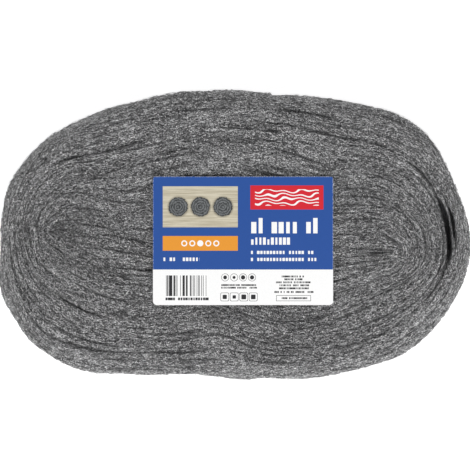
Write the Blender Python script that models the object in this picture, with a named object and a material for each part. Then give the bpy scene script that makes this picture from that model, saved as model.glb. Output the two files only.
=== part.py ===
# A bundle of steel wool: one long band of steel fibres, coiled flat into an oval roll that lies
# on its side, with a printed card label resting on its upper face.
# Sizes are in metres and angles in degrees. +Z is up, +X runs along the oval's length, and the
# origin is the centre of the base. Angles are counted from +X towards +Y, as seen from above.

import math
import random

import bmesh
import bpy

# The roll's overall size
ROLL_LENGTH = 0.285
ROLL_WIDTH = 0.175
ROLL_HEIGHT = 0.090

# The oval outline: how square each of its corners is, where 2 is an ellipse
CORNER_BACK_RIGHT = 2.3
CORNER_BACK_LEFT = 2.2
CORNER_FRONT_LEFT = 3.3
CORNER_FRONT_RIGHT = 1.85
LONG_SIDES_SHIFT_RIGHT = 0.0067
ENDS_SHIFT_FORWARD = 0.0055

# Places where the soft outline bulges: angle, height of the bulge and half its spread
BULGES = (
    (44, 0.0041, 12),
    (139, 0.0014, 7),
    (229, 0.0041, 14),
    (270, 0.0012, 7),
    (308, 0.0042, 22),
)

# The slit at the heart of the coil, where the first turn was folded flat. It sags between its
# ends: how far, where along it and over what share of it. A bluntness under 1 bunches the turns
# at the ends of the slit, so that they fold there in a rounder curve.
CORE_LEFT_END = (-0.1050, 0.0060)
CORE_RIGHT_END = (0.0930, -0.0100)
CORE_SAG = 0.015
CORE_SAG_AT = 0.45
CORE_SAG_SPREAD = 0.38
FOLD_BLUNTNESS = 0.6

# Places where the turns stray from even ovals: x, y, half length, half width and how far inwards
MEANDERS = (
    (-0.004, 0.049, 0.036, 0.017, -0.0085),
    (-0.011, -0.050, 0.020, 0.022, 0.0085),
    (0.036, -0.050, 0.029, 0.026, -0.0077),
    (-0.073, -0.016, 0.020, 0.013, -0.0052),
    (-0.064, 0.012, 0.020, 0.023, 0.0063),
    (0.056, 0.035, 0.020, 0.026, 0.0047),
    (-0.104, -0.035, 0.025, 0.026, 0.0053),
    (0.090, 0.005, 0.018, 0.011, -0.0042),
    (-0.105, 0.029, 0.021, 0.025, -0.0046),
)
MEANDER_EDGE_POWER = 8
MEANDER_PASSES = 5

# The coiled band. It is wound clockwise as seen from above. Turns are counted from the angle
# where its tail ends, and it keeps its distance from the core for the first share of each turn,
# then climbs outwards over its own tail by one thickness.
FULL_TURNS = 6
STEPS_PER_TURN = 60
TAIL_ANGLE = 84
CLIMB_FROM = 0.5
START_TURN = 0.6
TURN_GAP = 0.0006
TAIL_THICKNESS = 0.0012
TAIL_STEP_FADE = 4
TAIL_LIFT_TURNS = 0.2
OUTER_TURN_SHARE = 0.22
THICKNESS_UNEVENNESS = 0.14

# The band's section, upright in the coil
BASE_ROUND = 0.0028
BASE_FLAT_INSET = 0.14
HEEL_ROUND = 0.006
WALL_LOW_SHARE = 0.3
WALL_HIGH_SHARE = 0.7
WAIST_BARREL = 0.055
GROOVE_DEPTH = 0.0028
GROOVE_INSET = 0.07
SHOULDER_INSET = 0.22
SHOULDER_DROP_SHARE = 0.3
RIM_FROM = 0.84
RIM_ROUND = 0.013
RIM_DROP = 0.006
CREST_UNEVENNESS = 0.0030

# Where the outermost turn stands a little off the next one, so the groove gapes
GAPE_ANGLE = 4
GAPE_SPREAD = 26
GAPE_DEPTH = 0.0095
GAPE_INSET = 0.12

# The hollow over the left-hand fold: its middle, half length, half width and depth
HOLLOW = (-0.094, 0.0035, 0.021, 0.013, 0.0022)

# The unevenness of hand-coiled wool: waves in each turn, and the seed of their phases
WAVES_PER_TURN = (1.3, 2.9, 4.7)
WAVE_SEED = 11

# The card label
LABEL_LENGTH = 0.108
LABEL_WIDTH = 0.077
LABEL_THICKNESS = 0.0004
LABEL_CENTRE = (0.0048, -0.0038)
LABEL_BACK_CORNER = 0.0016
LABEL_FRONT_CORNER = 0.0024
LABEL_CORNER_STEPS = 6
LABEL_SEAT_GAP = 0.0003

WOOL_COLOUR = (0.150, 0.150, 0.152, 1.0)
LABEL_COLOUR = (0.030, 0.088, 0.352, 1.0)


def clear_scene():
    """Removes whatever the file opened with."""
    for thing in list(bpy.data.objects):
        bpy.data.objects.remove(thing)


def material(name, colour, roughness, metallic):
    """A plain Principled material."""
    made = bpy.data.materials.new(name)
    made.use_nodes = True
    made.diffuse_color = colour
    shader = made.node_tree.nodes["Principled BSDF"]
    shader.inputs["Base Color"].default_value = colour
    shader.inputs["Roughness"].default_value = roughness
    shader.inputs["Metallic"].default_value = metallic
    return made


def wave(seed):
    """A smooth unevenness between -1 and 1 along the band, as a function of the turn count."""
    chance = random.Random(seed)
    phases = [chance.uniform(0, math.tau) for _ in WAVES_PER_TURN]

    def height(turn):
        pairs = zip(WAVES_PER_TURN, phases)
        return sum(math.sin(math.tau * rate * turn + phase) for rate, phase in pairs) / len(phases)

    return height


def corner_squareness(angle):
    """The superellipse power at this angle, blended from the four corners."""
    right = (1 + math.cos(angle)) / 2
    back = (1 + math.sin(angle)) / 2
    return (
        right * back * CORNER_BACK_RIGHT
        + (1 - right) * back * CORNER_BACK_LEFT
        + (1 - right) * (1 - back) * CORNER_FRONT_LEFT
        + right * (1 - back) * CORNER_FRONT_RIGHT
    )


def bell(angle, middle, spread):
    """A smooth bump round the oval: 1 at the middle angle, fading over the spread."""
    away = (math.degrees(angle) - middle + 180) % 360 - 180
    return math.exp(-((away / spread) ** 2))


def outline_point(angle):
    """A point of the oval outline: a superellipse with bulges, its sides and ends shifted."""
    power = corner_squareness(angle)
    cosine = math.cos(angle)
    sine = math.sin(angle)
    reach = (abs(cosine) ** power + abs(sine) ** power) ** (-1 / power)
    x = cosine * reach
    y = sine * reach
    out = sum(height * bell(angle, middle, spread) for middle, height, spread in BULGES)
    return (
        x * (ROLL_LENGTH / 2 + out) + LONG_SIDES_SHIFT_RIGHT * (1 - x * x),
        y * (ROLL_WIDTH / 2 + out) - ENDS_SHIFT_FORWARD * (1 - y * y),
    )


def core_point(angle):
    """The point of the core slit that the turns wrap round at this angle."""
    cosine = math.cos(angle)
    share = (1 + math.copysign(abs(cosine) ** FOLD_BLUNTNESS, cosine)) / 2
    x, y = (left + (right - left) * share for left, right in zip(CORE_LEFT_END, CORE_RIGHT_END))
    return x, y - CORE_SAG * math.exp(-(((share - CORE_SAG_AT) / CORE_SAG_SPREAD) ** 2))


def rings_inside(turn):
    """How many rings lie within the band's outer wall, climbing by one in each turn."""
    whole = math.floor(turn)
    climb = max(0.0, (turn - whole - CLIMB_FROM) / (1 - CLIMB_FROM))
    return whole + climb * climb * (3 - 2 * climb)


def mound(x, y, middle_x, middle_y, half_length, half_width):
    """A smooth mound: 1 at its middle, fading over its half length and half width."""
    return math.exp(-(((x - middle_x) / half_length) ** 2) - ((y - middle_y) / half_width) ** 2)


def strayed(out, core, rim, reach):
    """This share of the way out once the meanders have moved it, none at the core or outline."""
    edges = (1 - (1 - out) ** MEANDER_EDGE_POWER) * (1 - out**MEANDER_EDGE_POWER)
    moved = out
    for _ in range(MEANDER_PASSES):
        x = core[0] + (rim[0] - core[0]) * moved
        y = core[1] + (rim[1] - core[1]) * moved
        inwards = sum(amount * mound(x, y, *area) for *area, amount in MEANDERS)
        moved = out - inwards / reach * edges
    return moved


def top_height(out):
    """The height of the roll's upper face, from 0 at the core to 1 at the outline."""
    past_rim = max(0.0, (out - RIM_FROM) / (1 - RIM_FROM))
    rounding = 1 - math.sqrt(max(0.0, 1 - past_rim * past_rim))
    return ROLL_HEIGHT - RIM_DROP * out**4 - RIM_ROUND * rounding


def band_sections():
    """The band's cross-sections from the inner end to the outer tail, each a ring of points."""
    thickness_wave = wave(WAVE_SEED)
    crest_wave = wave(WAVE_SEED + 1)
    tail_angle = math.radians(TAIL_ANGLE)
    tail_reach = math.dist(core_point(tail_angle), outline_point(tail_angle))
    tail_share = (TAIL_THICKNESS + TURN_GAP) / tail_reach

    def outer_wall(turn):
        """How far out the band's outer wall lies, from 0 at the core to 1 at the outline."""
        if turn <= CLIMB_FROM:
            return 0.0
        if turn >= FULL_TURNS:
            return 1 - tail_share * (FULL_TURNS + 1 - turn) ** TAIL_STEP_FADE
        rings = rings_inside(turn)
        fade = min(rings, FULL_TURNS - rings, 1)
        uneven = rings + THICKNESS_UNEVENNESS * fade * thickness_wave(turn)
        under_outer = FULL_TURNS - 1
        inner_share = (1 - OUTER_TURN_SHARE) * min(uneven / under_outer, 1)
        return (1 - tail_share) * (inner_share + OUTER_TURN_SHARE * max(uneven - under_outer, 0))

    def thickness(turn, reach):
        """The band's thickness where the outline is this far from the core."""
        if turn > FULL_TURNS + 1:
            return 0.0
        return (outer_wall(turn) - outer_wall(turn - 1)) * reach - TURN_GAP

    def section(turn):
        """The ring of points round the band at this turn count."""
        angle = tail_angle - math.tau * turn
        core = core_point(angle)
        rim = outline_point(angle)
        reach = math.dist(core, rim)
        outer = outer_wall(turn)
        inner = outer_wall(turn - 1) + TURN_GAP / reach

        def point(across, height):
            """Across goes from 0 at the band's inner wall to 1 at its outer wall."""
            lean = 1 - WAIST_BARREL * abs(2 * height / ROLL_HEIGHT - 1) ** 4
            out = strayed(inner + (outer - inner) * across, core, rim, reach) * lean
            return (
                core[0] + (rim[0] - core[0]) * out,
                core[1] + (rim[1] - core[1]) * out,
                height,
            )

        uneven = CREST_UNEVENNESS * outer * (1 + crest_wave(turn)) / 2

        def top_point(across, drop):
            """A point of the band's upper edge, this far below the roll's upper face."""
            out = strayed(inner + (outer - inner) * across, core, rim, reach)
            x = core[0] + (rim[0] - core[0]) * out
            y = core[1] + (rim[1] - core[1]) * out
            hollow = HOLLOW[-1] * mound(x, y, *HOLLOW[:-1])
            return point(across, top_height(out) - uneven - hollow - drop)

        gape = bell(angle, GAPE_ANGLE, GAPE_SPREAD)
        inner_gape = gape if turn > FULL_TURNS else 0.0
        outer_gape = gape if FULL_TURNS - 1 < turn < FULL_TURNS else 0.0
        inner_groove = GROOVE_DEPTH + GAPE_DEPTH * inner_gape
        if turn > 1 + START_TURN:
            inner_groove = min(inner_groove, thickness(turn, reach), thickness(turn - 1, reach))
        outer_groove = min(
            GROOVE_DEPTH + GAPE_DEPTH * outer_gape,
            thickness(turn, reach),
            thickness(turn + 1, reach),
        )
        bare = min(1.0, max(0.0, 1 - (FULL_TURNS - turn) / TAIL_LIFT_TURNS))
        heel = BASE_ROUND + (HEEL_ROUND - BASE_ROUND) * bare
        low = ROLL_HEIGHT * WALL_LOW_SHARE
        high = ROLL_HEIGHT * WALL_HIGH_SHARE
        return [
            point(BASE_FLAT_INSET, 0),
            point(1 - BASE_FLAT_INSET * heel / BASE_ROUND, 0),
            point(1, heel),
            point(1, low),
            point(1, high),
            top_point(1 - GROOVE_INSET - GAPE_INSET * outer_gape, outer_groove),
            top_point(1 - SHOULDER_INSET, outer_groove * SHOULDER_DROP_SHARE),
            top_point(0.5, 0),
            top_point(SHOULDER_INSET, inner_groove * SHOULDER_DROP_SHARE),
            top_point(GROOVE_INSET + GAPE_INSET * inner_gape, inner_groove),
            point(0, high),
            point(0, low),
            point(0, BASE_ROUND),
        ]

    first = round(START_TURN * STEPS_PER_TURN)
    last = (FULL_TURNS + 1) * STEPS_PER_TURN
    return [section(step / STEPS_PER_TURN) for step in range(first, last + 1)]


def fit_to_size(sections):
    """Stretches the sections by the little that makes the roll its stated length and width."""

    def fitter(axis, size):
        """The linear map that brings this axis to its size, centred on the origin."""
        values = [point[axis] for ring in sections for point in ring]
        low = min(values)
        high = max(values)
        return lambda value: (value - (low + high) / 2) * size / (high - low)

    fit_x = fitter(0, ROLL_LENGTH)
    fit_y = fitter(1, ROLL_WIDTH)
    return [[(fit_x(x), fit_y(y), z) for x, y, z in ring] for ring in sections]


def loft(name, rings, finish):
    """A closed solid through a row of rings that have the same number of points."""
    shape = bmesh.new()
    rows = [[shape.verts.new(point) for point in ring] for ring in rings]
    count = len(rings[0])
    for near, far in zip(rows, rows[1:]):
        for i in range(count):
            j = (i + 1) % count
            shape.faces.new((near[i], near[j], far[j], far[i]))
    shape.faces.new(reversed(rows[0]))
    shape.faces.new(rows[-1])
    bmesh.ops.recalc_face_normals(shape, faces=shape.faces)
    return place(name, shape, finish)


def place(name, shape, finish):
    """Puts a finished shape into the scene as a named object."""
    mesh = bpy.data.meshes.new(name)
    shape.to_mesh(mesh)
    shape.free()
    mesh.materials.append(finish)
    mesh.shade_smooth()
    mesh.set_sharp_from_angle(angle=math.radians(40))
    made = bpy.data.objects.new(name, mesh)
    bpy.context.scene.collection.objects.link(made)
    return made


def label_outline():
    """The label's outline, counter-clockwise from above, with an arc at each corner."""
    corners = (
        (1, 1, LABEL_BACK_CORNER, 0),
        (-1, 1, LABEL_BACK_CORNER, 90),
        (-1, -1, LABEL_FRONT_CORNER, 180),
        (1, -1, LABEL_FRONT_CORNER, 270),
    )
    points = []
    for side_x, side_y, radius, start in corners:
        centre_x = LABEL_CENTRE[0] + side_x * (LABEL_LENGTH / 2 - radius)
        centre_y = LABEL_CENTRE[1] + side_y * (LABEL_WIDTH / 2 - radius)
        for step in range(LABEL_CORNER_STEPS + 1):
            angle = math.radians(start + 90 * step / LABEL_CORNER_STEPS)
            points.append(
                (centre_x + radius * math.cos(angle), centre_y + radius * math.sin(angle))
            )
    return points


def highest_under_label(sections):
    """The height of the highest crest that lies under the label."""
    return max(
        z
        for ring in sections
        for x, y, z in ring
        if abs(x - LABEL_CENTRE[0]) < LABEL_LENGTH / 2
        and abs(y - LABEL_CENTRE[1]) < LABEL_WIDTH / 2
    )


def make_roll(sections):
    """The coiled band of wool, one solid from its inner end to its tail."""
    finish = material("steel_wool", WOOL_COLOUR, roughness=0.55, metallic=0.8)
    return loft("wool_roll", sections, finish)


def make_label(sections):
    """The card label, resting on the highest crests below it."""
    finish = material("label_card", LABEL_COLOUR, roughness=0.4, metallic=0.0)
    bottom = highest_under_label(sections) + LABEL_SEAT_GAP
    shape = bmesh.new()
    base = shape.faces.new([shape.verts.new((x, y, bottom)) for x, y in label_outline()])
    raised = bmesh.ops.extrude_face_region(shape, geom=[base])["geom"]
    corners = [item for item in raised if isinstance(item, bmesh.types.BMVert)]
    bmesh.ops.translate(shape, verts=corners, vec=(0, 0, LABEL_THICKNESS))
    bmesh.ops.recalc_face_normals(shape, faces=shape.faces)
    return place("label_card", shape, finish)


def main():
    clear_scene()
    sections = fit_to_size(band_sections())
    make_roll(sections)
    make_label(sections)


main()
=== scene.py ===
# The looks of a steel wool bundle: an oval roll of coiled steel fibres, lying on its side, with a
# printed card on its upper face. Lengths are in metres. Angles run counter-clockwise from +X, as
# seen from above. The fibres are a bumpy mass with many thousand separate strands laid over it.
import math
import random

import bmesh
import bpy
import mathutils
import numpy as np
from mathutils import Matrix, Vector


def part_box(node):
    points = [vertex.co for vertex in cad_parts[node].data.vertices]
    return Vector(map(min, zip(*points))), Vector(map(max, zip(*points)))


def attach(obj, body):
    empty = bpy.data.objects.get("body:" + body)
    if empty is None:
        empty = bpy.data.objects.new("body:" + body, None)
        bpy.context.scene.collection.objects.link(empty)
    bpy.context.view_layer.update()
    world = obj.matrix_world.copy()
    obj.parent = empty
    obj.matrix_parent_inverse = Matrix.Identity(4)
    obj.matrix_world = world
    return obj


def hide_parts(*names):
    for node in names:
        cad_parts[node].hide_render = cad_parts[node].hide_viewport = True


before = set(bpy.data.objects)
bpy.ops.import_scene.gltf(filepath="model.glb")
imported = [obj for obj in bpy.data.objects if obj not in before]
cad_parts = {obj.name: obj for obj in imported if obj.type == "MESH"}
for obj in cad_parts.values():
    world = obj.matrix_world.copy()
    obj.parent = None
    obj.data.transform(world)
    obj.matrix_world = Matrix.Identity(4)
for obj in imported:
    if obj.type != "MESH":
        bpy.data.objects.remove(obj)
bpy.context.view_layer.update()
print("frame loaded")

# The roll's form, as in the solids. Corners are superellipse powers, and 2 is an ellipse.
roll = {
    "backRight": 2.3, "backLeft": 2.2, "frontLeft": 3.3, "frontRight": 1.85,
    "shiftRight": 0.0067,  # the long sides lie further right than the ends
    "shiftForward": 0.0055,  # and the ends further forward than the sides
    # Low bulges of the outline: angle, height and spread
    "bulges": [(44, 0.0041, 12), (139, 0.0014, 7), (229, 0.0041, 14), (270, 0.0012, 7),
               (308, 0.0042, 22)],
    "coreLeft": (-0.1050, 0.0060),
    "coreRight": (0.0930, -0.0100),
    "coreSag": (0.015, 0.45, 0.38),  # how far, where along it and how widely
    "foldBlunt": 0.6,
    "rimFrom": 0.84,  # share of the way out at which the upper face turns down
    "rimRound": 0.013, "rimDrop": 0.006, "baseInset": 0.05, "baseRound": 0.006,
    "barrel": 0.055, "edgePower": 4,  # how late the faces curve near their edges
}
rollLow, rollHigh = (np.array(corner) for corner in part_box("wool_roll"))
rollSize = rollHigh - rollLow
rollHeight = rollSize[2]
labelLow, labelHigh = (np.array(corner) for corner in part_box("label_card"))

# The section runs over the upper face from 0 to 1, down the side to 2 and under the base to 3
rimStart, heelEnd = 0.8, 2.2

# The coiled band: its turns, the grooves between them and the gape at the right-hand end
turns = {
    "count": 6,
    "outerShare": 0.22,  # the outermost turn's part of the way out
    "tailAngle": 84,
    "climbFrom": 0.5,
    "tailStep": 0.0018, "tailFade": 4,
    "waveRates": (1.3, 2.9, 4.7), "waveSeed": 11, "uneven": 0.14,
    "crestDrop": 0.0030, "crestBlend": 0.0008,
    "grooveDepth": 0.0016, "grooveWidth": 0.0009, "groovePower": 1.6,
    "baseGroove": 0.85,  # how deep the grooves are below, as a share of those above
    "broken": (0.55, 0.7, 0.08, 1.5),  # how they come and go: mean, swing, least and most
    "wallFade": 0.004, "leastFade": 0.15,  # how they fade at the core and the outline
    # The core's slit is open at one place along it: where, and for how long
    "coreDepth": 0.0038, "coreWidth": 0.0009, "coreOpen": (0.0843, 0.0065),
    "gapeAngle": 4, "gapeSpread": 25, "gapeDepth": 0.0110, "gapeWidth": 0.0004,
    "gapeBroken": (0.8, 0.45, 0.25, 1.15), "gapeStray": 0.0005, "strayPart": 0.012,
    # A second gap beside the gape: how far out from it, its angle, spread, depth and width
    "twin": (0.0038, 11, 9, 0.0090, 0.0011),
    # Thin cracks in the crests of a random wave: depth, painted shade in them, and where they start and
    # are full
    "crackDepth": 0.0003, "crackShade": 0.60, "crackFrom": (1.00, 1.65),
    "fray": (34, 0.0050, 0.35),  # how they crowd round the gape
    # Where the turns stray inwards: x, y, half length, half width and how far
    "meanders": [
        (-0.004, 0.049, 0.036, 0.017, -0.0085),
        (-0.011, -0.050, 0.020, 0.022, 0.0085),
        (0.036, -0.050, 0.029, 0.026, -0.0077),
        (-0.073, -0.016, 0.020, 0.013, -0.0052),
        (-0.064, 0.012, 0.020, 0.023, 0.0063),
        (0.056, 0.035, 0.020, 0.026, 0.0047),
        (-0.104, -0.035, 0.025, 0.026, 0.0053),
        (0.090, 0.005, 0.018, 0.011, -0.0042),
        (-0.105, 0.029, 0.021, 0.025, -0.0046),
    ],
    "meanderFade": 8,
}


def bell(angle, middle, spread):
    # 1 at the middle angle, falling off as a Gaussian of the angle away, in degrees
    away = (np.degrees(angle) - middle + 180) % 360 - 180
    return np.exp(-((away / spread) ** 2))


def hill(x, y, middleX, middleY, halfLength, halfWidth):
    # 1 at a place, falling off as a Gaussian of the distance from it in half sizes
    return np.exp(-(((x - middleX) / halfLength) ** 2 + ((y - middleY) / halfWidth) ** 2))


def rawOutline(angle):
    # A superellipse whose power blends between four corner values, with bulges added to its
    # half sizes, its long sides shifted right and its ends shifted forward
    right = (1 + np.cos(angle)) / 2
    back = (1 + np.sin(angle)) / 2
    power = (right * back * roll["backRight"] + (1 - right) * back * roll["backLeft"]
             + (1 - right) * (1 - back) * roll["frontLeft"] + right * (1 - back) * roll["frontRight"])
    reach = (np.abs(np.cos(angle)) ** power + np.abs(np.sin(angle)) ** power) ** (-1 / power)
    x, y = np.cos(angle) * reach, np.sin(angle) * reach
    out = sum(height * bell(angle, middle, spread) for middle, height, spread in roll["bulges"])
    return (x * (rollSize[0] / 2 + out) + roll["shiftRight"] * (1 - x * x),
            y * (rollSize[1] / 2 + out) - roll["shiftForward"] * (1 - y * y))


sampleX, sampleY = rawOutline(np.linspace(0, math.tau, 2000))
outlineMiddle = (sampleX.max() + sampleX.min()) / 2, (sampleY.max() + sampleY.min()) / 2
outlineFit = rollSize[:2] / np.array([np.ptp(sampleX), np.ptp(sampleY)])


def fitted(x, y):
    # Centred on the origin and stretched to the solid's length and width
    return (x - outlineMiddle[0]) * outlineFit[0], (y - outlineMiddle[1]) * outlineFit[1]


def outlinePoint(angle):
    return fitted(*rawOutline(angle))


def corePoint(angle):
    # The point of the core slit that faces this angle: a line with a Gaussian sag, run by a power
    # of the cosine. A power under 1 keeps to the ends of the line, which makes blunter folds.
    share = (1 + np.sign(np.cos(angle)) * np.abs(np.cos(angle)) ** roll["foldBlunt"]) / 2
    sag, sagAt, sagSpread = roll["coreSag"]
    x, y = (left + (right - left) * share for left, right in zip(roll["coreLeft"], roll["coreRight"]))
    return fitted(x, y - sag * np.exp(-(((share - sagAt) / sagSpread) ** 2)))


# The spread of a random wave's wavelengths, along the turns and across them
alongSpread, acrossSpread = (0.35, 1.0), (0.45, 1.6)


def waveField(seed, count, around, across):
    # A smooth random field: a sum of cosines of position along the turns and of distance across
    # them, with a spread of wavelengths about the two given ones, scaled to a spread of 1
    chance = np.random.default_rng(seed)
    heading = chance.uniform(0, math.tau, count)
    size = chance.uniform(*alongSpread, count) * math.tau / around
    kx, ky = np.cos(heading) * size, np.sin(heading) * size
    kq = chance.choice([-1, 1], count) * chance.uniform(*acrossSpread, count) * math.tau / across
    phase = chance.uniform(0, math.tau, count)

    def field(x, y, q):
        total = np.zeros(np.broadcast(x, y, q).shape)
        for i in range(count):
            total += np.cos(kx[i] * x + ky[i] * y + kq[i] * q + phase[i])
        return total * math.sqrt(2 / count)

    return field


lumpWave = waveField(5, 30, 0.050, 0.045)
tuftWave = waveField(7, 50, 0.060, 0.0062)
lockWave = waveField(9, 60, 0.036, 0.0028)
wanderWave = waveField(13, 16, 0.045, 0.060)
breakWave = waveField(15, 30, 0.022, 0.012)
crackWave = waveField(17, 70, 0.060, 0.0034)

# How the fibres lie: lumps, tufts and locks, the mass's depth under the strands, and their wander
relief = {
    "lump": 0.0005, "tuft": 0.00014, "lock": 0.00010, "sink": 0.0006, "wander": 0.0004,
    "lumpAcross": 0.5,
    "sideLump": 2.2,  # how much bigger the lumps are on the side than on the upper face
    # Between the turns the colour gets painted shade, from one depth on and deepening over another
    "fadeFrom": 0.0014, "fadeDepth": 0.0030,  # the light dies from a depth on
    # The eye is the sunken wad in the left-hand fold, where the strands get painted shade: place and half
    # sizes, and its depth
    "eye": (-0.0940, 0.0035, 0.021, 0.013), "eyeDepth": 0.0022,
    # Beside the eye the fibres run askew: place, half sizes and angle in degrees
    "askew": (-0.0760, 0.0085, 0.0190, 0.0120, -26),
    # How far across the turns the fibres' course lies at -1 to 4, and its rates above and below
    "courseSteps": (-0.084, 0, 0.084, 0.150, 0.234, 0.300), "courseRates": (0.95, -0.84),
}


def strayed(x, y, share, reach):
    # How far in the turns stray at this point, as a share of the way out: a sum of Gaussians, one
    # for each meander, and a random wave. It fades out at the core and at the outline.
    shift = relief["wander"] * wanderWave(x, y, 0.0)
    for *place, amount in turns["meanders"]:
        shift = shift + amount * hill(x, y, *place)
    share = np.clip(share, 0, 1)
    return shift / reach * (1 - (1 - share) ** turns["meanderFade"]) * (1 - share ** turns["meanderFade"])


def inEye(x, y):
    return hill(x, y, *relief["eye"])


def turnWave(seed):
    # A smooth unevenness along the band: the mean of three sines of the turn count
    chance = random.Random(seed)
    sines = [(rate, chance.uniform(0, math.tau)) for rate in turns["waveRates"]]
    return lambda turn: sum(np.sin(math.tau * rate * turn + phase) for rate, phase in sines) / len(sines)


unevenWave = turnWave(turns["waveSeed"])
crestWave = turnWave(turns["waveSeed"] + 1)


def tailPlace(angle):
    # How far round the current turn this angle is, counted clockwise from the tail
    return ((math.radians(turns["tailAngle"]) - angle) / math.tau) % 1


tailAt = math.radians(turns["tailAngle"])
tailReach = math.dist(corePoint(tailAt), outlinePoint(tailAt))


def rimShare(angle, share):
    # The turns are drawn in by the tail's thickness, as a share of the way out. The outermost
    # turn's outer face starts out drawn in as far, past the tail, and recovers by a power law.
    outermost = np.clip((share - 1) / turns["outerShare"] + 1, 0, 1)
    recovered = 1 - (1 - tailPlace(angle)) ** turns["tailFade"]
    return 1 - turns["tailStep"] / tailReach * (1 - recovered * outermost)


def turnWalls(angle):
    # The outer walls of the turns, as shares of the way out, and how far each turn's crest drops.
    # In each turn the wall keeps its distance at first and then climbs smoothly by one turn.
    place = tailPlace(angle)
    climb = np.clip((place - turns["climbFrom"]) / (1 - turns["climbFrom"]), 0, 1)
    climb = climb * climb * (3 - 2 * climb)
    inner = turns["count"] - 1
    walls = []
    for whole in range(turns["count"]):
        rings = whole + climb
        fade = np.clip(np.minimum(rings, turns["count"] - rings), 0, 1)
        rings = rings + turns["uneven"] * fade * unevenWave(whole + place)
        walls.append((1 - turns["outerShare"]) * np.minimum(rings / inner, 1)
                     + turns["outerShare"] * np.maximum(rings - inner, 0))
    drops = [turns["crestDrop"] * wall * (1 + crestWave(whole + place)) / 2
             for whole, wall in enumerate(walls + [1])]
    return walls, drops


def profilePoint(v):
    # The section's share of the way out, its height, and its slope as an angle from straight up.
    # The rim and the heel are quarter ellipses.
    turn = np.clip((v - rimStart) / (1 - rimStart), 0, 1) * math.pi / 2
    low = np.clip((v - 2) / (heelEnd - 2), 0, 1) * math.pi / 2
    rim = roll["rimFrom"] + (1 - roll["rimFrom"]) * np.sin(turn)
    share = np.where(v < rimStart, v / rimStart * roll["rimFrom"], rim)
    share = np.where(v > 2, 1 - roll["baseInset"] * (1 - np.cos(low)), share)
    share = np.where(v > heelEnd, (1 - roll["baseInset"]) * (3 - v) / (3 - heelEnd), share)
    rimHeight = rollHeight - roll["rimDrop"] - roll["rimRound"]
    height = rollHeight - roll["rimDrop"] * share ** roll["edgePower"]
    height = height - roll["rimRound"] * (1 - np.cos(turn))
    height = np.where(v > 1, rimHeight + (roll["baseRound"] - rimHeight) * (v - 1), height)
    height = np.where(v > 2, roll["baseRound"] * (1 - np.sin(low)), height)
    return share, height, np.where(v <= 1, turn, math.pi / 2 + low)


def smoothSurface(angle, v):
    # The mass without its roughness: the section carried round the nested ovals and drawn in by the
    # barrel, with the surface's normal and the fibres' distance across the turns
    share, height, slope = profilePoint(v)
    coreX, coreY = corePoint(angle)
    edgeX, edgeY = outlinePoint(angle)
    drawnIn = roll["barrel"] * np.abs(2 * height / rollHeight - 1) ** roll["edgePower"]
    out = share * rimShare(angle, share) * (1 - drawnIn)
    x = coreX + (edgeX - coreX) * out
    y = coreY + (edgeY - coreY) * out
    step = 0.01
    aheadX, aheadY = outlinePoint(angle + step)
    behindX, behindY = outlinePoint(angle - step)
    sideX, sideY = aheadY - behindY, behindX - aheadX
    flat = np.sin(slope) / np.hypot(sideX, sideY)
    normal = np.stack([sideX * flat, sideY * flat, np.cos(slope) + 0 * x], -1)
    place = np.stack([x, y, height + 0 * x], -1)
    course = fibreCourse(place, angle, v)[0]
    across = np.interp(course, np.arange(-1, 5), relief["courseSteps"])
    return place, normal, across


def fibreCourse(point, angle, v):
    # A number that stays the same along a fibre: the way round the section, shifted by the
    # meanders. Also the shifted share of the way out, and how long the way out is.
    share = profilePoint(v)[0]
    coreX, coreY = corePoint(angle)
    edgeX, edgeY = outlinePoint(angle)
    reach = np.hypot(edgeX - coreX, edgeY - coreY)
    shift = strayed(point[..., 0], point[..., 1], share, reach)
    above, below = relief["courseRates"]
    return v + shift * np.where(v > 2, below, above), share + shift, reach


def unevenness(x, y, mean, swing, least, most):
    # A factor that comes and goes along the turns: a random wave about a mean, between two ends
    return np.clip(mean + swing * breakWave(x, y, 0.0), least, most)


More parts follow.
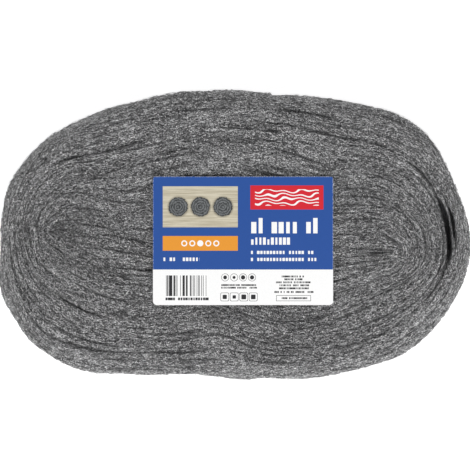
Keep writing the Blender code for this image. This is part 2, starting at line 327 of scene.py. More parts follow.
def surfaceLift(point, across, angle, v):
    # How far the fibres stand off the smooth mass: random lumps, tufts and locks drawn out along
    # the turns, less each turn's own drop, the eye, and a rounded groove at each wall and the core.
    # Also the painted light on the fibres there: cracks get painted shade, and between the turns
    # the painted light dies away exponentially from a depth on.
    slope = profilePoint(v)[2]
    course, share, reach = fibreCourse(point, angle, v)
    x, y = point[..., 0], point[..., 1]
    level = np.where(v < 1, np.sqrt(np.clip(np.cos(slope), 0, 1)),
                     np.where(v > 2, turns["baseGroove"] * np.sin(slope - math.pi / 2), 0))
    openAt, openLength = turns["coreOpen"]
    groove = (turns["coreDepth"] * np.exp(-(((x - openAt) / openLength) ** 2))
              * np.exp(-((share * reach / turns["coreWidth"]) ** 2)))
    broken = unevenness(x, y, *turns["broken"])
    gapeBroken = unevenness(x, y, *turns["gapeBroken"])
    stray = turns["gapeStray"] * breakWave(x, y, turns["strayPart"])
    walls, drops = turnWalls(angle)
    drop = drops[0]
    for whole, wall in enumerate(walls):
        outermost = whole == turns["count"] - 1
        gape = bell(angle, turns["gapeAngle"], turns["gapeSpread"]) if outermost else 0
        width = turns["grooveWidth"] + turns["gapeWidth"] * gape
        depth = turns["grooveDepth"] * broken * (1 - gape) + turns["gapeDepth"] * gape * gapeBroken
        depth = (depth * np.clip(wall * reach / turns["wallFade"], 0, 1)
                 * np.clip((1 - wall) * reach / turns["wallFade"], turns["leastFade"], 1))
        away = (share - wall) * reach + gape * stray
        groove = np.maximum(groove, depth * np.exp(-np.abs(away / width) ** turns["groovePower"]))
        past = 1 / (1 + np.exp(-np.clip(away / turns["crestBlend"], -40, 40)))
        drop = drop + (drops[whole + 1] - drop) * past
    # The last wall was the gape's. Beside it lies a second gap, and the cracks crowd.
    aside, twinAngle, twinSpread, twinDepth, twinWidth = turns["twin"]
    twin = twinDepth * bell(angle, twinAngle, twinSpread) * np.exp(-(((away - aside) / twinWidth) ** 2))
    groove = np.maximum(groove, twin)
    fraySpread, frayWidth, frayShare = turns["fray"]
    frayed = bell(angle, turns["gapeAngle"], fraySpread) * np.exp(-((away / frayWidth) ** 2))
    crackLow, crackHigh = turns["crackFrom"]
    crack = crackWave(x, y, across) + frayShare * frayed
    crack = np.clip((crack - crackLow) / (crackHigh - crackLow), 0, 1)
    lumps = relief["lump"] * lumpWave(x, y, relief["lumpAcross"] * across)
    lumps = lumps * (relief["sideLump"] + (1 - relief["sideLump"]) * np.clip(level, 0, 1))
    rough = lumps + relief["tuft"] * tuftWave(x, y, across) + relief["lock"] * lockWave(x, y, across)
    calm = np.clip(share * reach / turns["wallFade"], 0, 1)
    sunk = groove + drop + relief["eyeDepth"] * inEye(x, y)
    lift = (rough - turns["crackDepth"] * crack) * calm - sunk * level
    # Painted shade: darker in the cracks and deep in the grooves
    shadow = np.maximum(groove * level - relief["fadeFrom"], 0) / relief["fadeDepth"]
    paintedLight = (1 - turns["crackShade"] * crack) * np.exp(-shadow)
    return lift - relief["sink"], paintedLight


# The mass and the strands are pressed to a gap below the card, from a margin past its edges on
room = {
    "massMargin": 0.0015, "massGap": 0.0005, "massGround": 0.0004,
    "strandMargin": 0.0004, "strandGap": 0.00025, "strandGround": 0.0001,
    "startInside": 0.004,
}


def underCard(x, y, margin):
    # Whether a point lies under the card or within a margin of it
    return ((x > labelLow[0] - margin) & (x < labelHigh[0] + margin)
            & (y > labelLow[1] - margin) & (y < labelHigh[1] + margin))


def pressed(point, v, margin, gap):
    # The heights of points, lowered to a gap below the card where they are under it
    under = underCard(point[..., 0], point[..., 1], margin) & (v < 1)
    return np.where(under, np.minimum(point[..., 2], labelLow[2] - gap), point[..., 2])


def meshFrom(name, points, faces, attributes=()):
    # A new object from whole arrays of points and of faces that all have the same corner count
    mesh = bpy.data.meshes.new(name)
    mesh.vertices.add(len(points))
    mesh.vertices.foreach_set("co", points.astype(np.float32).ravel())
    mesh.loops.add(faces.size)
    mesh.loops.foreach_set("vertex_index", faces.astype(np.int32).ravel())
    mesh.polygons.add(len(faces))
    mesh.polygons.foreach_set("loop_start", np.arange(0, faces.size, faces.shape[1], dtype=np.int32))
    mesh.polygons.foreach_set("use_smooth", np.ones(len(faces), dtype=bool))
    for attributeName, kind, field, values in attributes:
        made = mesh.attributes.new(attributeName, kind, "POINT")
        made.data.foreach_set(field, values.astype(np.float32).ravel())
    mesh.update(calc_edges=True)
    piece = bpy.data.objects.new(name, mesh)
    bpy.context.scene.collection.objects.link(piece)
    return piece


def addMap(piece, places):
    # The piece's map, from a place for each corner of its faces
    layer = piece.data.uv_layers.new(name="OFBake")
    layer.uv.foreach_set("vector", places.astype(np.float32).ravel())


# The mass's grid: steps around the oval and along its section, and how its noise is drawn out
woolGrid = {"around": 640, "top": 70, "rim": 22, "side": 24, "heel": 5, "base": 22, "stretch": 8}


def makeWoolMass():
    # The smooth mass moved along its normals by the lift, on a grid of the way round and the
    # section. Its two halves meet along the core slit, above and below, where they are merged.
    count = woolGrid["around"]
    around = np.linspace(0, math.tau, count, endpoint=False)
    spans = (("top", 0, rimStart), ("rim", rimStart, 1), ("side", 1, 2), ("heel", 2, heelEnd))
    v = [np.linspace(start, end, woolGrid[span], endpoint=False) for span, start, end in spans]
    v = np.concatenate([*v, np.linspace(heelEnd, 3, woolGrid["base"])])
    angle, section = np.meshgrid(around, v, indexing="ij")
    point, normal, across = smoothSurface(angle, section)
    lift, paintedLight = surfaceLift(point, across, angle, section)
    point = point + normal * lift[..., None]
    point[..., 2] = np.maximum(point[..., 2], room["massGround"])
    point[..., 2] = pressed(point, section, room["massMargin"], room["massGap"])
    mirror = -np.arange(count) % count
    for end in (0, -1):
        point[:, end] = (point[:, end] + point[mirror, end]) / 2
    index = np.arange(angle.size).reshape(angle.shape)
    after = np.roll(index, -1, axis=0)
    faces = np.stack([index[:, :-1], index[:, 1:], after[:, 1:], after[:, :-1]], -1).reshape(-1, 4)
    flow = np.stack([across, point[..., 0] / woolGrid["stretch"], point[..., 1] / woolGrid["stretch"]], -1)
    # Its light attribute carries the painted shade of the cracks and grooves
    mass = meshFrom("woolMass", point.reshape(-1, 3), faces,
                    [("flow", "FLOAT_VECTOR", "vector", flow), ("light", "FLOAT", "value", paintedLight)])
    # Its map has the way round along and the section up, each from 0 to 1 with no overlap
    row, column = np.divmod(faces, len(v))
    row = np.where((row == 0) & (row.max(axis=1, keepdims=True) > 1), count, row)
    addMap(mass, np.stack([row / count, v[column] / 3], -1))
    shape = bmesh.new()
    shape.from_mesh(mass.data)
    bmesh.ops.remove_doubles(shape, verts=shape.verts, dist=1e-6)
    bmesh.ops.recalc_face_normals(shape, faces=shape.faces)
    shape.to_mesh(mass.data)
    shape.free()
    return mass


# The separate strands: long ones that lie along the turns, and short ones that cross them
strands = {
    "sideDensity": 0.50, "baseDensity": 0.28,  # against the upper face
    "sunk": 0.0005, "raised": 0.0006,
    "bow": 0.0009, "bowShare": (0.3, 1),
    "curl": 0.00016, "curlRate": (4, 14),
    # In the eye the strands are more askew and darker with painted shade
    "eyeSlant": 1.2, "eyeShade": 0.22,  # how much more askew and how much darker
    "toneShape": 0.4,  # below 1, most strands are either dark or bright
}
longStrands = {
    "each": 16500, "rings": 2, "length": (0.0030, 0.0066), "thickness": (0.00008, 0.00015),
    "contrast": 0.7, "wander": 12, "strayShare": 0.20, "strayWander": 36,
    "wave": (0.05, 0.25), "waveLength": (0.004, 0.010),
}
shortStrands = {
    "each": 33000, "rings": 1, "length": (0.0012, 0.0032), "thickness": (0.00009, 0.00018),
    "contrast": 1.0, "wander": 16, "strayShare": 0.25, "strayWander": 50,
    "wave": (0.05, 0.2), "waveLength": (0.004, 0.008),
}
# How strands walk: the nudge that measures slopes, and the limits of slope, turn and section
walk = {"nudge": 0.002, "steepest": 2, "widest": 0.3, "end": 2.999}


def strandStarts(chance, count):
    # Random places on the mass, spread evenly over its area and thinned on the side and the base
    around = np.linspace(0, math.tau, 361)
    v = np.linspace(0, 3, 241)
    angle, section = np.meshgrid(around, v, indexing="ij")
    point = smoothSurface(angle, section)[0]
    along = np.linalg.norm(np.diff(point, axis=0)[:, :-1], axis=-1)
    over = np.linalg.norm(np.diff(point, axis=1)[:-1], axis=-1)
    weight = along * over
    weight *= np.where(v[:-1] < 1, 1, np.where(v[:-1] < 2, strands["sideDensity"], strands["baseDensity"]))
    hidden = underCard(point[:-1, :-1, 0], point[:-1, :-1, 1], -room["startInside"])
    weight[hidden & (v[:-1] < 1)[None, :]] = 0
    cell = chance.choice(weight.size, count, p=(weight / weight.sum()).ravel())
    row, column = np.divmod(cell, weight.shape[1])
    return around[row] + chance.random(count) * around[1], v[column] + chance.random(count) * v[1]


def unit(vectors):
    return vectors / (np.linalg.norm(vectors, axis=-1, keepdims=True) + 1e-12)


def nextPlace(angle, v, heading, stride):
    # One stride over the smooth mass, turned by the heading from the direction in which the fibres'
    # course doesn't change, and solved for the surface's two directions
    nudge = walk["nudge"]
    here, normal, course = smoothSurface(angle, v)
    aheadPoint, aheadNormal, aheadCourse = smoothSurface(angle + nudge, v)
    overPoint, overNormal, overCourse = smoothSurface(angle, v + nudge)
    along, over = (aheadPoint - here) / nudge, (overPoint - here) / nudge
    ratio = -(aheadCourse - course) / np.maximum(overCourse - course, 1e-6)
    fibre = unit(along + over * np.clip(ratio, -walk["steepest"], walk["steepest"])[:, None])
    turned = np.cos(heading)[:, None] * fibre + np.sin(heading)[:, None] * np.cross(normal, fibre)
    move = stride[:, None] * turned
    a, b, c = (along * along).sum(-1), (along * over).sum(-1), (over * over).sum(-1)
    p, q = (move * along).sum(-1), (move * over).sum(-1)
    scale = np.maximum(a * c - b * b, 1e-12)
    turn = np.clip((c * p - b * q) / scale, -walk["widest"], walk["widest"])
    return angle + turn, np.clip(np.abs(v + (a * q - b * p) / scale), 0, walk["end"])


def makeStrands(name, kind, seed):
    # Each strand is a thin three-sided spindle, pointed at both ends. Its middle line walks over
    # the mass: at each step it heads along the turns, plus its own slant and a sine wave, and its
    # height is the mass's lift, plus its own level and a bow that dips both ends into the mass.
    chance = np.random.default_rng(seed)
    count, rings = kind["each"], kind["rings"]
    steps = rings + 2
    angle, v = strandStarts(chance, count)
    length = chance.uniform(*kind["length"], count)
    slant = chance.normal(0, kind["wander"], count)
    stray = chance.random(count) < kind["strayShare"]
    slant = np.radians(np.where(stray, chance.normal(0, kind["strayWander"], count), slant))
    start = smoothSurface(angle, v)[0]
    slant *= 1 + strands["eyeSlant"] * inEye(start[:, 0], start[:, 1])
    *askewPlace, askewAngle = relief["askew"]
    slant += math.radians(askewAngle) * (v < 1) * hill(start[:, 0], start[:, 1], *askewPlace)
    swing = chance.uniform(*kind["wave"], count)
    waveNumber = math.tau / chance.uniform(*kind["waveLength"], count)
    phase = chance.uniform(0, math.tau, count)
    stride = length / (steps - 1)
    path = np.empty((count, steps, 2))
    for k in range(steps):
        path[:, k] = np.stack([angle, v], -1)
        heading = slant + swing * np.cos(waveNumber * stride * k + phase)
        angle, v = nextPlace(angle, v, heading, stride)
    angle, v = path[..., 0], path[..., 1]
    point, normal, across = smoothSurface(angle, v)
    lift, paintedLight = surfaceLift(point, across, angle, v)
    share = np.linspace(0, 1, steps)
    level = chance.uniform(-strands["sunk"], strands["raised"], count)[:, None]
    bow = chance.uniform(*strands["bowShare"], count)[:, None] * strands["bow"]
    lift = lift + level + bow * (np.sin(share * math.pi) - 0.5)
    curlPhase = chance.uniform(0, math.tau, (count, 1))
    lift += strands["curl"] * np.sin(curlPhase + share * chance.uniform(*strands["curlRate"], (count, 1)))
    line = point + normal * lift[..., None]
    radius = chance.uniform(*kind["thickness"], count)[:, None] * np.sin(share * math.pi) ** 0.5
    # Under the card the strands stay below it, and on the base they stay above the ground
    line[..., 2] = pressed(line, v, room["strandMargin"], room["strandGap"])
    line[..., 2] = np.maximum(line[..., 2], radius + room["strandGround"])
    tangent = unit(np.gradient(line, axis=1))
    side = unit(np.cross(tangent, normal))[:, 1:-1, None]
    up = np.cross(side, tangent[:, 1:-1, None])
    corner = chance.uniform(0, math.tau, (count, 1, 1)) + np.arange(3) * math.tau / 3
    around = np.cos(corner)[..., None] * up + np.sin(corner)[..., None] * side
    ring = line[:, 1:-1, None] + radius[:, 1:-1, None, None] * around
    points = np.concatenate([line[:, :1], ring.reshape(count, rings * 3, 3), line[:, -1:]], 1)
    faces = []
    for first in range(3):
        second = (first + 1) % 3
        faces.append((0, 1 + second, 1 + first))
        faces.append((rings * 3 + 1, rings * 3 - 2 + first, rings * 3 - 2 + second))
        for k in range(rings - 1):
            low, high = 1 + 3 * k, 4 + 3 * k
            faces.append((low + first, low + second, high + second))
            faces.append((low + first, high + second, high + first))
    offset = np.arange(count) * (rings * 3 + 2)
    faces = (np.array(faces)[None] + offset[:, None, None]).reshape(-1, 3)
    middle = line[:, steps // 2]
    tone = 0.5 + (chance.beta(strands["toneShape"], strands["toneShape"], count) - 0.5) * kind["contrast"]
    # Painted shade darkens the strands in the eye
    tone *= 1 - strands["eyeShade"] * inEye(middle[:, 0], middle[:, 1])
    # The strands take the painted shade of the cracks and grooves
    tone = tone[:, None] * paintedLight
    tone = np.concatenate([tone[:, :1], np.repeat(tone[:, 1:-1], 3, axis=1), tone[:, -1:]], 1)
    piece = meshFrom(name, points.reshape(-1, 3), faces, [("tone", "FLOAT", "value", tone)])
    # Every strand has a cell of its own on the map, with its length along it
    columns = math.ceil(math.sqrt(count / 4))
    cells = np.arange(count)
    rows = math.ceil(count / columns)
    ends = (0.04, 0.96)
    alongMap = np.concatenate([ends[:1], np.repeat(np.linspace(*ends, steps)[1:-1], 3), ends[1:]])
    overMap = np.concatenate([[0.5], np.tile([0.1, 0.5, 0.9], rings), [0.5]])
    places = np.stack([((cells % columns)[:, None] + alongMap) / columns,
                       ((cells // columns)[:, None] + overMap) / rows], -1)
    addMap(piece, places.reshape(-1, 2)[faces.ravel()])
    return piece


def newGroup(name, inputs, outputs):
    # An empty node group with named sockets, and its input and output nodes
    group = bpy.data.node_groups.new(name, "ShaderNodeTree")
    for socket, kind, value in inputs:
        made = group.interface.new_socket(name=socket, in_out="INPUT", socket_type="NodeSocket" + kind)
        made.default_value = value
    for socket, kind in outputs:
        group.interface.new_socket(name=socket, in_out="OUTPUT", socket_type="NodeSocket" + kind)
    return group, group.nodes.new("NodeGroupInput").outputs, group.nodes.new("NodeGroupOutput").inputs


def addNode(tree, kind, *sources, **settings):
    # A node with its settings, and its inputs in order: each is a link, a value or None
    node = tree.nodes.new("ShaderNode" + kind)
    for setting, value in settings.items():
        setattr(node, setting, value)
    for socket, source in zip(node.inputs, sources):
        feed(tree, source, socket)
    return node


def feed(tree, source, socket):
    # Links an output to a socket, or sets the socket's own value
    if isinstance(source, bpy.types.NodeSocket):
        tree.links.new(source, socket)
    elif source is not None:
        socket.default_value = source


def feedAll(tree, node, sources):
    for socket, source in sources.items():
        feed(tree, source, node.inputs[socket])


def mathNode(operation):
    # A function that adds a Math node of one kind and gives its output
    return lambda tree, *sources, clamp=False: addNode(
        tree, "Math", *sources, operation=operation, use_clamp=clamp).outputs[0]


plus, minus, times, divide, less, more = map(mathNode, (
    "ADD", "SUBTRACT", "MULTIPLY", "DIVIDE", "LESS_THAN", "GREATER_THAN"))
largest, absolute, fraction, wholePart, sine, toPower = map(mathNode, (
    "MAXIMUM", "ABSOLUTE", "FRACT", "FLOOR", "SINE", "POWER"))


def fromHalf(tree, value):
    # How far a value is from a half, either way
    return absolute(tree, minus(tree, value, 0.5))


def scaled(tree, vector, scale):
    node = addNode(tree, "VectorMath", vector, operation="SCALE")
    feed(tree, scale, node.inputs["Scale"])
    return node.outputs["Vector"]


def fromPlace(tree, vector, origin):
    return addNode(tree, "VectorMath", vector, origin, operation="SUBTRACT").outputs["Vector"]


def attribute(tree, name, output="Fac"):
    return addNode(tree, "Attribute", attribute_name=name).outputs[output]


def objectPlace(tree):
    return addNode(tree, "TexCoord").outputs["Object"]


def parts(tree, vector):
    return addNode(tree, "SeparateXYZ", vector).outputs


def noise(tree, vector, scale, detail=2.0, roughness=0.5):
    node = addNode(tree, "TexNoise")
    feedAll(tree, node, {"Vector": vector, "Scale": scale, "Detail": detail, "Roughness": roughness})
    return node.outputs[0]


def remap(tree, value, fromLow, fromHigh, toLow, toHigh, smooth=False):
    return addNode(tree, "MapRange", value, fromLow, fromHigh, toLow, toHigh,
                   interpolation_type="SMOOTHSTEP" if smooth else "LINEAR").outputs[0]


def stretched(tree, value, low, high):
    # Noise seldom leaves the middle of its range, which is stretched to the two ends
    return remap(tree, value, 0.3, 0.7, low, high)


def blend(tree, share, under, over):
    # A colour mix, from under at 0 to over at 1
    node = addNode(tree, "Mix", data_type="RGBA", blend_type="MIX")
    feedAll(tree, node, {0: share, 6: under, 7: over})
    return node.outputs[2]


def addBump(tree, shader, height, strength, distance):
    bump = addNode(tree, "Bump")
    feedAll(tree, bump, {"Height": height, "Strength": strength, "Distance": distance})
    feed(tree, bump.outputs[0], shader.inputs["Normal"])


def newMaterial(name):
    # A material with only its shader and its output
    made = bpy.data.materials.new(name)
    made.use_nodes = True
    return made, made.node_tree, made.node_tree.nodes["Principled BSDF"]


# Steel fibres: linear colours from the painted shade between the fibres to painted glints
steel = {
    "deep": (0.020, 0.020, 0.021, 1), "low": (0.030, 0.030, 0.031, 1), "mid": (0.295, 0.295, 0.298, 1),
    "bright": (0.96, 0.96, 0.965, 1), "metallic": 0.9, "roughness": (0.30, 0.52), "bump": 0.0004,
    # The noise of the mass's fibres, and each layer's share of its scale, sharpness and weight
    "scale": 1500, "layers": ((1.0, 9.0, 0.6), (2.3, 7.0, 0.4)), "patch": 0.16, "patchShade": (0.6, 1.1),
    "speckle": 1350.0, "massSpeckle": (0.36, 0.64, 0.25, 1.0), "strandSpeckle": (0.34, 0.66, -0.28, 0.28),
    # The shades at which the middle colour and the glint are reached
    "massShades": (0.4, 0.9), "strandShades": (0.6, 1),
}


def fibreGroup():
    # Drawn-out noise as tangled fibres: the ridges of a coarse and of a fine noise, where noise is
    # half way between its ends, are thin bright lines that run along the turns
    group, given, made = newGroup(
        "tangledFibres", [("Flow", "Vector", (0, 0, 0)), ("Scale", "Float", steel["scale"])],
        [("Fibre", "Float"), ("Patch", "Float")])
    ridges = []
    for share, sharp, weight in steel["layers"]:
        grain = noise(group, given["Flow"], times(group, given["Scale"], share), 3.0, 0.55)
        ridge = minus(group, 1.0, times(group, fromHalf(group, grain), sharp), clamp=True)
        ridges.append(times(group, ridge, weight))
    feed(group, plus(group, *ridges), made["Fibre"])
    patch = noise(group, given["Flow"], times(group, given["Scale"], steel["patch"]), 2.0)
    feed(group, stretched(group, patch, 0, 1), made["Patch"])
    return group


fibres = fibreGroup()


def steelColour(tree, shade, dark, middle, glint):
    # From the dark to the middle colour at one shade, and to the glint at another
    colour = blend(tree, remap(tree, shade, 0, middle, 0, 1), dark, steel["mid"])
    return blend(tree, remap(tree, shade, middle, glint, 0, 1), colour, steel["bright"])


def makeMassMaterial():
    # The mass under the strands: painted shade between its fibres, in cracks and deep between the turns,
    # and painted glints on the fibres, with a bump along them
    made, tree, shader = newMaterial("steelWoolMass")
    group = addNode(tree, "Group", node_tree=fibres)
    feed(tree, attribute(tree, "flow", "Vector"), group.inputs["Flow"])
    fibre, patch = group.outputs["Fibre"], group.outputs["Patch"]
    speckle = remap(tree, noise(tree, objectPlace(tree), steel["speckle"], 0.0), *steel["massSpeckle"])
    patchy = remap(tree, patch, 0, 1, *steel["patchShade"])
    shade = times(tree, times(tree, fibre, speckle), patchy, clamp=True)
    # The light attribute darkens the colour with painted shade in the cracks and grooves
    shade = times(tree, shade, attribute(tree, "light"))
    feedAll(tree, shader, {"Base Color": steelColour(tree, shade, steel["deep"], *steel["massShades"]),
                           "Roughness": remap(tree, patch, 0, 1, *steel["roughness"]),
                           "Metallic": steel["metallic"]})
    addBump(tree, shader, fibre, 0.9, steel["bump"])
    return made


def makeStrandMaterial():
    # Each strand has a tone of its own, darkened by painted shade in cracks and between the turns, and
    # painted glints and shade break it up a little along its length
    made, tree, shader = newMaterial("steelWoolStrands")
    speckle = noise(tree, objectPlace(tree), steel["speckle"], 0.0)
    shade = plus(tree, attribute(tree, "tone"), remap(tree, speckle, *steel["strandSpeckle"]), clamp=True)
    feedAll(tree, shader, {"Base Color": steelColour(tree, shade, steel["low"], *steel["strandShades"]),
                           "Roughness": stretched(tree, speckle, *steel["roughness"]),
                           "Metallic": steel["metallic"]})
    return made


# The card's print. All places are in millimetres from its lower left corner, as left, bottom,
# width and height. Nothing on it can be read: rows of blocks stand where a card has its text.
card = {
    "blue": (0.015, 0.074, 0.310, 1), "red": (0.65, 0.014, 0.028, 1), "orange": (0.80, 0.315, 0.030, 1),
    "paper": (0.955, 0.955, 0.95, 1), "ink": (0.014, 0.014, 0.016, 1), "edge": (0.70, 0.69, 0.66, 1),
    "bandHeight": 21.3,
    "waves": (58.4, 57.3, 43.8, 14.4), "waveMargin": (2.8, 2.3), "wavePitch": 2.4, "waveLine": 0.17,
    "waveRates": (0.62, 0.27, 0.8), "waveHeight": 0.62,
    # The picture: a row of three coiled pads on a board, with each pad's radius
    "picture": (5.9, 46.6, 45.0, 24.6), "pads": (8.4, 50.4, 40.2, 17.0, 13.4), "padSize": 5.7,
    "board": (0.66, 0.61, 0.48, 1), "boardDark": (0.46, 0.41, 0.30, 1), "boardGrain": (0.05, 1.1, 1),
    "padDark": (0.018, 0.020, 0.021, 1), "padPale": (0.19, 0.20, 0.205, 1),
    "padShadow": (0.05, 0.045, 0.035, 1), "padRagged": 0.5, "coilRate": 4.4, "coilDepth": 0.30,
    # The grade's rings: left, bottom, width, height and pitch, and their radius, line and filling
    "grade": (5.9, 32.6, 45.0, 8.8), "gradeRings": (16.4, 34.8, 24.0, 4.4, 4.8),
    "gradeRing": (1.45, 0.75, 1.5),
    # Rows of blocks: left, bottom, width, height and the width of one block
    "paleRows": [(58.4, 43.0, 40.4, 9.2, 4.1), (58.4, 36.2, 26.0, 4.3, 2.4),
                 (58.4, 30.6, 38.0, 1.9, 1.9), (58.4, 26.4, 42.0, 1.9, 1.9), (5.9, 26.4, 22.0, 2.1, 1.95)],
    "bigPitch": 2, "bigShort": 0.74,  # some blocks of big rows are shorter
    "darkRows": [(77.0, 16.6, 14.4, 1.1, 0.9), (78.8, 14.9, 10.8, 1.1, 0.9), (73.6, 13.1, 21.0, 1.1, 0.9),
                 (74.8, 11.3, 19.2, 1.1, 0.9), (75.6, 9.5, 18.0, 1.1, 0.9), (72.8, 7.3, 23.4, 1.1, 0.9),
                 (77.0, 3.6, 15.6, 1.1, 0.9), (40.9, 11.5, 21.0, 1.0, 0.8), (40.9, 9.9, 21.4, 1.0, 0.8),
                 (7.4, 2.9, 26.0, 1.6, 1.5)],
    "darkBroad": 0.56,
    # Rings with a dot in each: left, bottom, width, height, pitch, ring size, squareness
    "rings": [(40.6, 14.0, 21.5, 5.2, 5.37, 2.2, 2.0), (40.2, 2.2, 22.8, 5.4, 5.70, 2.45, 7.0)],
    "frame": (73.9, 2.4, 20.8, 3.5), "frameLine": 0.26,
    "bars": (7.9, 5.4, 24.1, 12.4), "barWidth": 0.34,
    "wornEdge": 0.22, "mottle": (0.96, 1.03), "roughness": (0.36, 0.50),
}


def areaGroup(name, inputs, outputs):
    # A group for an area of the card: its sockets start with the place on the card and the area's
    # corner and size. Also the place within the area, and a mask that is 1 inside and 0 outside.
    area = [("Place", "Vector", (0, 0, 0)), ("Low", "Vector", (0, 0, 0)), ("Size", "Vector", (1, 1, 0))]
    group, given, made = newGroup(name, area + [(socket, "Float", value) for socket, value in inputs],
                                  [(socket, "Float") for socket in outputs])
    inside = parts(group, fromPlace(group, given["Place"], given["Low"]))
    size = parts(group, given["Size"])
    within = 1.0
    for axis in "XY":
        for mask in (more(group, inside[axis], 0.0), less(group, inside[axis], size[axis])):
            within = times(group, within, mask)
    return group, given, made, inside, size, within


def rowGroup():
    # A row of blocks: cells of one pitch, and in each a block whose width and height are random.
    # Some cells are empty, as between words.
    group, given, made, inside, size, within = areaGroup(
        "blockRow", [("Pitch", 1.0), ("Short", 1.0), ("Broad", 0.42)], ["Mask"])
    cell = divide(group, inside["X"], given["Pitch"])
    corner = parts(group, given["Low"])
    spot = addNode(group, "CombineXYZ", wholePart(group, cell), corner["Y"], corner["X"]).outputs[0]
    chance = addNode(group, "TexWhiteNoise", spot, noise_dimensions="3D").outputs["Color"]
    chance = addNode(group, "SeparateColor", chance).outputs
    away = fromHalf(group, fraction(group, cell))
    block = less(group, away, remap(group, chance[0], 0, 1, 0.24, given["Broad"]))
    tall = remap(group, more(group, chance[1], 0.55), 0, 1, given["Short"], 1.0)
    block = times(group, block, less(group, inside["Y"], times(group, size["Y"], tall)))
    block = times(group, block, more(group, chance[2], 0.13))
    feed(group, times(group, block, within), made["Mask"])
    return group


def cellChance(group, cell):
    # A random number for each whole cell
    chance = addNode(group, "TexWhiteNoise", noise_dimensions="1D")
    feed(group, wholePart(group, cell), chance.inputs["W"])
    return chance.outputs["Value"]


def barGroup():
    # Upright bars: each cell is inked or bare at random, and neighbours join into broader bars
    group, given, made, inside, size, within = areaGroup("uprightBars", [("Pitch", 0.3)], ["Mask"])
    chance = cellChance(group, divide(group, inside["X"], given["Pitch"]))
    feed(group, times(group, within, more(group, chance, 0.46)), made["Mask"])
    return group


def ringGroup():
    # A row of rings with a dot in each. The distance from a cell's middle is a power mean of its
    # two parts, so that a power of 2 gives circles and a high one gives rounded squares.
    group, given, made, inside, size, within = areaGroup(
        "ringRow", [("Pitch", 5.0), ("Ring", 2.0), ("Line", 0.2), ("Power", 2.0)], ["Ring", "Dot", "Away"])
    cell = divide(group, inside["X"], given["Pitch"])
    across = times(group, minus(group, fraction(group, cell), 0.5), given["Pitch"])
    up = minus(group, inside["Y"], times(group, size["Y"], 0.5))
    powers = [toPower(group, absolute(group, part), given["Power"]) for part in (across, up)]
    away = toPower(group, plus(group, *powers), divide(group, 1.0, given["Power"]))
    off = absolute(group, minus(group, away, given["Ring"]))
    ring = less(group, off, times(group, given["Line"], 0.5))
    dotSize = times(group, given["Ring"], remap(group, cellChance(group, cell), 0, 1, 0.38, 0.62))
    dot = less(group, away, dotSize)
    feed(group, times(group, ring, within), made["Ring"])
    feed(group, times(group, dot, within), made["Dot"])
    feed(group, away, made["Away"])
    return group


def boxGroup():
    # A plain inked area
    group, given, made, inside, size, within = areaGroup("inkedArea", [], ["Mask"])
    feed(group, within, made["Mask"])
    return group


blockRow, uprightBars, ringRow, inkedArea = rowGroup(), barGroup(), ringGroup(), boxGroup()


def inked(tree, kind, place, area, **values):
    # The outputs of one of the print groups for an area of the card
    node = addNode(tree, "Group", node_tree=kind)
    feed(tree, place, node.inputs["Place"])
    node.inputs["Low"].default_value = (area[0], area[1], 0)
    node.inputs["Size"].default_value = (area[2], area[3], 0)
    for name, value in values.items():
        node.inputs[name].default_value = value
    return node.outputs


def inArea(tree, place, area):
    return inked(tree, inkedArea, place, area)["Mask"]


def shrunk(area, aside, above):
    # An area without a margin at each side and at its top and bottom
    left, bottom, width, height = area
    return left + aside, bottom + above, width - 2 * aside, height - 2 * above


def printWaves(tree, place, colour):
    # A red field crossed by fine wavy lines, each of whose height is a sum of two sines
    colour = blend(tree, inArea(tree, place, card["waves"]), colour, card["red"])
    x, y = parts(tree, place)["X"], parts(tree, place)["Y"]
    quick, slowAlong, slowUp = card["waveRates"]
    sines = [sine(tree, turn) for turn in (
        times(tree, x, quick), plus(tree, times(tree, x, slowAlong), times(tree, y, slowUp)))]
    bend = times(tree, plus(tree, *sines), card["waveHeight"])
    line = divide(tree, plus(tree, y, bend), card["wavePitch"])
    line = less(tree, fromHalf(tree, fraction(tree, line)), card["waveLine"])
    inner = inArea(tree, place, shrunk(card["waves"], *card["waveMargin"]))
    return blend(tree, times(tree, line, inner), colour, card["paper"])


def printPicture(tree, place, colour):
    # Grey coils with soft shadows on a board: each a sine of the distance from its middle
    grain = addNode(tree, "Mapping", place)
    grain.inputs["Scale"].default_value = card["boardGrain"]
    wood = noise(tree, grain.outputs[0], 1.3, 4.0)
    board = blend(tree, remap(tree, wood, 0.35, 0.65, 0, 1), card["board"], card["boardDark"])
    *area, pitch = card["pads"]
    away = inked(tree, ringRow, place, area, Pitch=pitch)["Away"]
    onRow = inArea(tree, place, area)
    shadow = remap(tree, away, card["padSize"] * 0.9, card["padSize"] * 1.25, 0.7, 0, smooth=True)
    board = blend(tree, times(tree, shadow, onRow), board, card["padShadow"])
    ragged = stretched(tree, noise(tree, place, 0.9, 3.0), -card["padRagged"], card["padRagged"])
    away = plus(tree, away, ragged)
    coil = times(tree, sine(tree, times(tree, away, card["coilRate"])), card["coilDepth"])
    coil = plus(tree, coil, noise(tree, place, 3.2, 3.0), clamp=True)
    pad = blend(tree, remap(tree, coil, 0.2, 0.9, 0, 1), card["padDark"], card["padPale"])
    onPad = times(tree, less(tree, away, card["padSize"]), onRow)
    return blend(tree, inArea(tree, place, card["picture"]), colour, blend(tree, onPad, board, pad))


def printGrade(tree, place, colour):
    # Five rings on an orange field, with the middle one filled
    colour = blend(tree, inArea(tree, place, card["grade"]), colour, card["orange"])
    *area, pitch = card["gradeRings"]
    ring, line, filling = card["gradeRing"]
    five = inked(tree, ringRow, place, area, Pitch=pitch, Ring=ring, Line=line)
    filled = less(tree, five["Away"], filling)
    middle = inArea(tree, place, (area[0] + 2 * pitch, area[1], pitch, area[3]))
    return blend(tree, largest(tree, five["Ring"], times(tree, filled, middle)), colour, card["paper"])


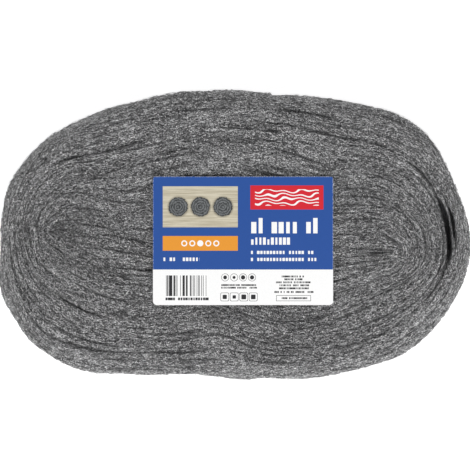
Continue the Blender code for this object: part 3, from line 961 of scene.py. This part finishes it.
def printSigns(tree, place, colour):
    # Rows of blocks, pale on the fields and dark on the band, with rings, bars and a thin frame
    pale = []
    for *area, pitch in card["paleRows"]:
        short = card["bigShort"] if pitch > card["bigPitch"] else 1.0
        pale.append(inked(tree, blockRow, place, area, Pitch=pitch, Short=short)["Mask"])
    dark = [inked(tree, uprightBars, place, card["bars"], Pitch=card["barWidth"])["Mask"]]
    for *area, pitch in card["darkRows"]:
        dark.append(inked(tree, blockRow, place, area, Pitch=pitch, Broad=card["darkBroad"])["Mask"])
    line = card["frameLine"]
    for *area, pitch, ring, power in card["rings"]:
        rings = inked(tree, ringRow, place, area, Pitch=pitch, Ring=ring, Line=line, Power=power)
        dark += [rings["Ring"], rings["Dot"]]
    hollow = inArea(tree, place, shrunk(card["frame"], line, line))
    dark.append(minus(tree, inArea(tree, place, card["frame"]), hollow))
    for masks, ink in ((pale, card["paper"]), (dark, card["ink"])):
        mask = masks[0]
        for other in masks[1:]:
            mask = largest(tree, mask, other)
        colour = blend(tree, mask, colour, ink)
    return colour


def makeCardMaterial():
    # Coated card, printed on its upper face, white at its cut edges and underneath
    made, tree, shader = newMaterial("printedCard")
    place = scaled(tree, fromPlace(tree, objectPlace(tree), tuple(labelLow)), 1000.0)
    field = more(tree, parts(tree, place)["Y"], card["bandHeight"])
    colour = blend(tree, field, card["paper"], card["blue"])
    for printPart in (printWaves, printPicture, printGrade, printSigns):
        colour = printPart(tree, place, colour)
    # Worn along the cut edges, mottled, and bare card where the face isn't the upper one
    whole = (0, 0, *(1000 * (labelHigh - labelLow)[:2]))
    worn = minus(tree, 1.0, inArea(tree, place, shrunk(whole, card["wornEdge"], card["wornEdge"])))
    worn = times(tree, worn, remap(tree, noise(tree, place, 2.2, 3.0), 0.45, 0.6, 0, 0.8))
    colour = blend(tree, worn, colour, card["paper"])
    mottle = stretched(tree, noise(tree, place, 1.6, 4.0, 0.6), *card["mottle"])
    colour = scaled(tree, colour, mottle)
    facing = parts(tree, addNode(tree, "NewGeometry").outputs["Normal"])["Z"]
    printed = more(tree, facing, 0.5)
    feedAll(tree, shader, {"Base Color": blend(tree, printed, card["edge"], colour),
                           "Roughness": stretched(tree, noise(tree, place, 0.7, 3.0), *card["roughness"]),
                           "Specular IOR Level": 0.3})
    addBump(tree, shader, noise(tree, place, 5.0, 3.0), 0.25, 0.00005)
    return made


woolMass = makeWoolMass()
woolMass.data.materials.append(makeMassMaterial())
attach(woolMass, "root")
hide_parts("wool_roll")
print("wool mass made")

strandMaterial = makeStrandMaterial()
for number, kind in enumerate((longStrands, longStrands, shortStrands, shortStrands)):
    layer = makeStrands("woolStrands" + str(number + 1), kind, 20 + number)
    layer.data.materials.append(strandMaterial)
    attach(layer, "root")
print("strands laid")

cardMaterial = makeCardMaterial()
for slot in bpy.data.objects["label_card"].material_slots:
    slot.material = cardMaterial
print("card printed")

# The camera looks straight down, as the photograph does
view = {"height": 2.4, "widest": 0.063, "frame": 0.285, "middle": (0.0, -0.0003)}
camera = bpy.data.objects.new("camera", bpy.data.cameras.new("camera"))
camera.data.lens = 36 * (view["height"] - view["widest"]) / view["frame"]
camera.location = (*view["middle"], view["height"])
bpy.context.scene.collection.objects.link(camera)
bpy.context.scene.camera = camera

# Soft light from all round, with a large lamp towards the front right, over a pale floor
light = {
    "world": 0.46, "key": 26.0, "keyPlace": (0.20, -1.20, 1.40), "keySize": 0.9, "aim": (0, 0, 0.04),
    "floorHalf": 3, "floorDrop": 0.0002, "floorGlow": 0.84,
    "floorDark": (0.50, 0.50, 0.50, 1), "floorPale": (0.52, 0.52, 0.52, 1),
}


def seenRay(tree):
    # 1 for what is seen, straight, in reflections or through things, and 0 for light
    path = addNode(tree, "LightPath").outputs
    other = largest(tree, path["Is Glossy Ray"], path["Is Transmission Ray"])
    return largest(tree, path["Is Camera Ray"], other)


def makeWorld():
    # White to the camera and in reflections, and softer as light
    world = bpy.data.worlds.new("studio")
    world.use_nodes = True
    tree = world.node_tree
    background = tree.nodes["Background"]
    background.inputs["Color"].default_value = (1, 1, 1, 1)
    feed(tree, remap(tree, seenRay(tree), 0, 1, light["world"], 1.0), background.inputs["Strength"])
    bpy.context.scene.world = world


def makeLamp():
    lamp = bpy.data.objects.new("key", bpy.data.lights.new("key", "AREA"))
    lamp.data.energy = light["key"]
    lamp.data.size = light["keySize"]
    lamp.location = light["keyPlace"]
    towards = mathutils.Vector(light["aim"]) - lamp.location
    lamp.rotation_euler = towards.to_track_quat("-Z", "Y").to_euler()
    bpy.context.scene.collection.objects.link(lamp)


def makeFloor():
    # A pale floor, white where it is lit: part glow and part matt, so the object's shadow stays.
    # It can't be seen from below.
    corners = np.array([(-1, -1, 0), (1, -1, 0), (1, 1, 0), (-1, 1, 0)], float) * light["floorHalf"]
    floor = meshFrom("floor", corners - (0, 0, light["floorDrop"]), np.array([[0, 1, 2, 3]]))
    made, tree, shader = newMaterial("paleFloor")
    grain = noise(tree, objectPlace(tree), 4.0)
    feedAll(tree, shader, {"Base Color": blend(tree, grain, light["floorDark"], light["floorPale"]),
                           "Roughness": 0.9, "Specular IOR Level": 0.1, "Emission Color": (1, 1, 1, 1),
                           "Emission Strength": times(tree, seenRay(tree), light["floorGlow"])})
    clear = addNode(tree, "BsdfTransparent").outputs[0]
    behind = addNode(tree, "NewGeometry").outputs["Backfacing"]
    mix = addNode(tree, "MixShader", behind, shader.outputs[0], clear)
    feed(tree, mix.outputs[0], tree.nodes["Material Output"].inputs["Surface"])
    floor.data.materials.append(made)


makeWorld()
makeLamp()
makeFloor()
bpy.context.scene.view_settings.view_transform = "Standard"
print("camera, light and floor made")
